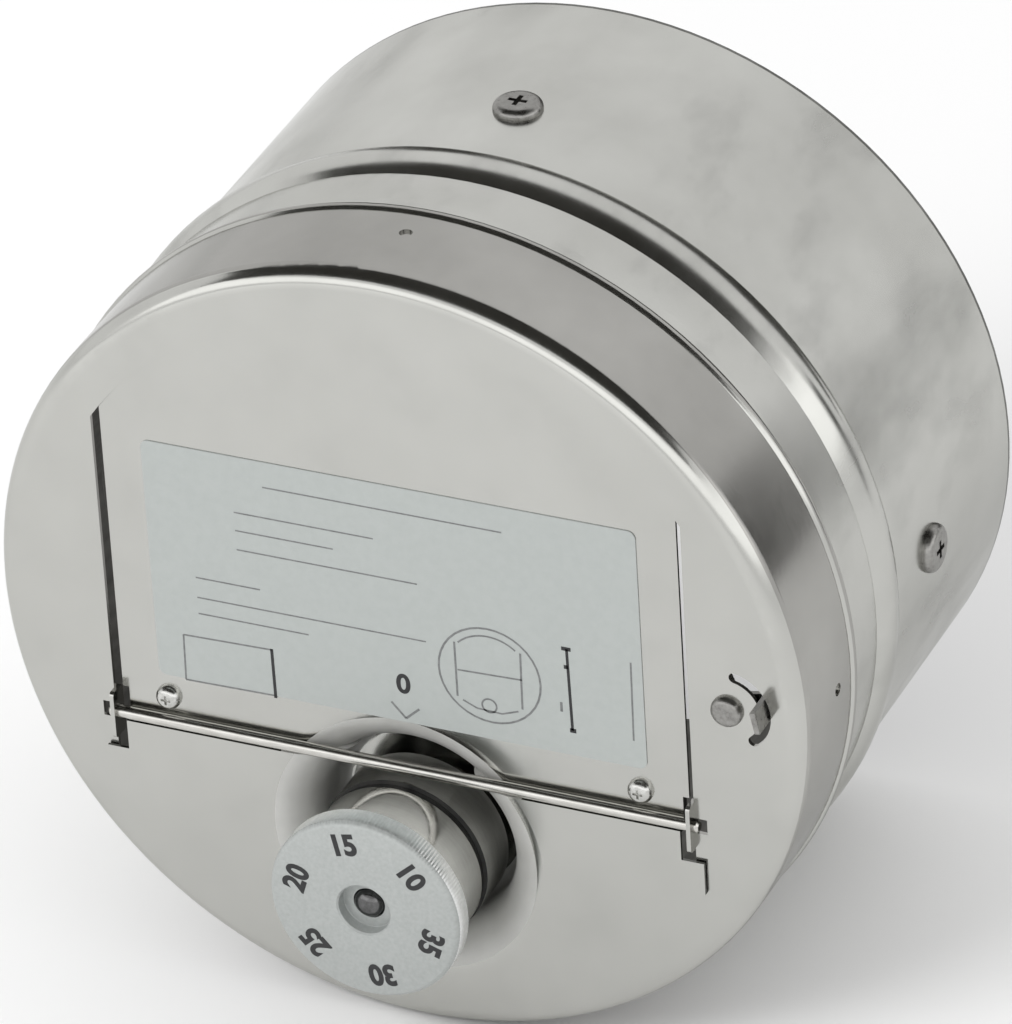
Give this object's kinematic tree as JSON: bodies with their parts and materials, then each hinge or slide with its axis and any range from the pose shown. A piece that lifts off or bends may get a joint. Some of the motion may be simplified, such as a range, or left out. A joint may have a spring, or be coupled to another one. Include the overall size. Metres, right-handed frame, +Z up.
{
  "type": "flue draft regulator",
  "caption": "Round stainless draft regulator for a flue: a hinged flap in a cap, closed by an adjustable balance weight with a pressure scale, on a clamp-on stub.",
  "frame": {"origin": "centre of the stub's rear rim, where the flue branch enters", "axes": "+Z up, -Y towards the front face with the flap, +Y out of the stub's mouth along its axis, +X to the right seen from the front"},
  "size_m": [0.1572, 0.1223, 0.1572],
  "materials": {
    "cap_steel": "satin 2B",
    "sleeve_steel": "satin 2B",
    "stub_steel": "satin 2B",
    "flap_steel": "satin 2B",
    "bright_steel": "polished",
    "fastener_steel": "bright zinc",
    "dial_grey": "light grey satin paint with a bright knurled edge",
    "dark_ring": "matt black",
    "label_foil": "matt printed foil",
    "spring_steel": "drawn wire"
  },
  "bodies": {
    "body": {"front_cap": "cap_steel", "joint_sleeve": "sleeve_steel", "flue_stub": "stub_steel", "stub_screws": "fastener_steel", "lock_rivet": "fastener_steel", "lock_spacer": "fastener_steel"},
    "flap": {"flap_plate": "flap_steel", "hinge_rod": "bright_steel", "flap_screws": "fastener_steel", "backing_plates": "flap_steel", "flap_nuts": "fastener_steel", "label_plate": "label_foil", "weight_spindle": "bright_steel", "base_nut": "fastener_steel", "back_washer": "fastener_steel", "back_nut": "fastener_steel", "backlash_spring": "spring_steel"},
    "thrust": {"thrust_washer": "fastener_steel"},
    "knob": {"dial_disc": "dial_grey", "weight_front": "bright_steel", "gap_ring": "dark_ring", "weight_rear": "bright_steel"},
    "lock": {"lock_lever": "cap_steel"}
  },
  "joints": [
    {"name": "flap_swing", "type": "hinge", "parent": "body", "child": "flap", "pos_m": [0, -0.1031, -0.0232], "axis": [-1, 0, 0], "range_deg": [0, 70]},
    {"name": "knob_travel", "type": "slide", "parent": "flap", "child": "thrust", "axis": [0, -1, 0], "range_m": [-0.0005, 0.002], "deforming": ["backlash_spring"]},
    {"name": "knob_turn", "type": "hinge", "parent": "thrust", "child": "knob", "pos_m": [0, -0.11, -0.0417], "axis": [0, 1, 0], "range_deg": [-60, 240]},
    {"name": "lock_turn", "type": "hinge", "parent": "body", "child": "lock", "pos_m": [0.0638, -0.1005, 0.0025], "axis": [0, -1, 0], "range_deg": [-40, 45]}
  ],
  "couplings": [
    {"joint": "knob_travel", "follows": "knob_turn", "m_per_rad": 0.000477}
  ]
}
